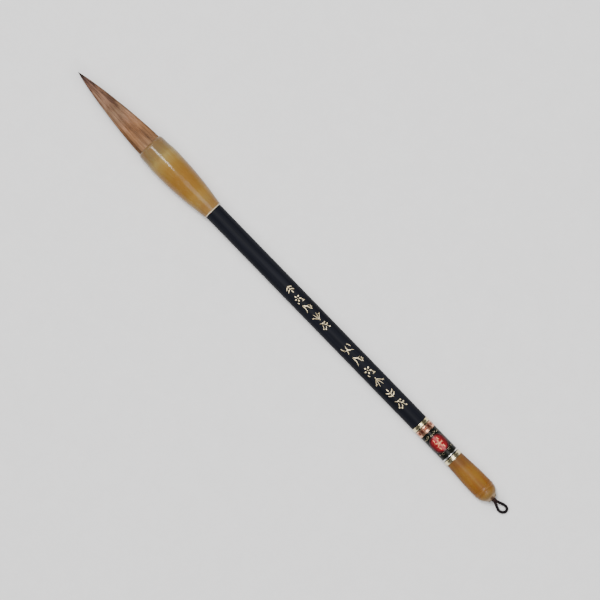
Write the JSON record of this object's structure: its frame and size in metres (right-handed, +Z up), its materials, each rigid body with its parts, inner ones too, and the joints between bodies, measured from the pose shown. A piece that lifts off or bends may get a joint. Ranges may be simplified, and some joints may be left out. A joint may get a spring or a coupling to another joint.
{
  "type": "calligraphy brush",
  "caption": "Large Chinese writing brush with a brown hair tuft, amber horn ferrule and tail, black lacquered shaft, decorated band and a hanging loop.",
  "frame": {"origin": "on the table under the middle of the brush, without its hanging loop", "axes": "+X from the hair tip to the tail, +Z up; the brush lies on its ferrule's belly and its tail's bead, so its own axis slopes down 0.58 degrees towards +X, and the label's badge faces up"},
  "size_m": [0.2938, 0.0152, 0.0153],
  "materials": {
    "weasel_hair": "fine combed animal hair, reddish brown with lighter streaks and a near-black point, silky sheen",
    "core_hair": "stiffer packed hair, matt",
    "silk_thread": "undyed silk thread, glued",
    "rosin": "melted rosin, dark and glassy",
    "clear_glue": "set glue, yellowish",
    "ferrule_horn": "polished translucent amber horn, olive at the mouth, smooth and glossy",
    "tail_horn": "polished mottled amber horn, glossy",
    "button_horn": "polished yellow amber horn, glossy",
    "black_lacquer": "black lacquer on wood, satin gloss, with small pale gold stamped ornaments",
    "pale_gold": "polished pale gold plate",
    "silver": "polished silver plate",
    "copper_foil": "rose-copper foil with a dark red key pattern",
    "black_foil": "glossy black film with fine gold scrollwork",
    "red_enamel": "glossy red enamel with a gold blossom",
    "waxed_cord": "braided waxed cord, almost black, with a slight sheen"
  },
  "bodies": {
    "handle": {"tuft_root": "weasel_hair", "root_thread": "silk_thread", "root_seal": "rosin", "socket_glue": "clear_glue", "ferrule": "ferrule_horn", "shaft": "black_lacquer", "front_gold_ring": "pale_gold", "front_black_ring": "black_foil", "copper_key_band": "copper_foil", "label_sleeve": "black_foil", "medallion": "red_enamel", "silver_ring": "silver", "rear_black_ring": "black_foil", "rear_gold_ring": "pale_gold", "tail_cap": "tail_horn", "tail_button": "button_horn", "cord_knot": "waxed_cord"},
    "tuft_belly": {"cover_hairs": "weasel_hair", "core_hairs": "core_hair"},
    "tuft_tip": {"tip_hairs": "weasel_hair"},
    "loop": {"hanging_loop": "waxed_cord"}
  },
  "joints": [
    {"name": "belly_bend", "type": "hinge", "parent": "handle", "child": "tuft_belly", "pos_m": [-0.09826, 0, 0.00782], "axis": [0.0101, 0, 0.9999], "range_deg": [-25, 25], "stiffness_Nm_per_rad": 0.008},
    {"name": "tip_bend", "type": "hinge", "parent": "tuft_belly", "child": "tuft_tip", "pos_m": [-0.12276, 0, 0.00807], "axis": [0.0101, 0, 0.9999], "range_deg": [-30, 30], "stiffness_Nm_per_rad": 0.001},
    {"name": "loop_swing", "type": "hinge", "parent": "handle", "child": "loop", "pos_m": [0.14313, 0, 0.00538], "axis": [0, -1, 0], "range_deg": [0, 100]}
  ],
  "couplings": [
    {"joint": "tip_bend", "follows": "belly_bend", "ratio": 1.2}
  ]
}
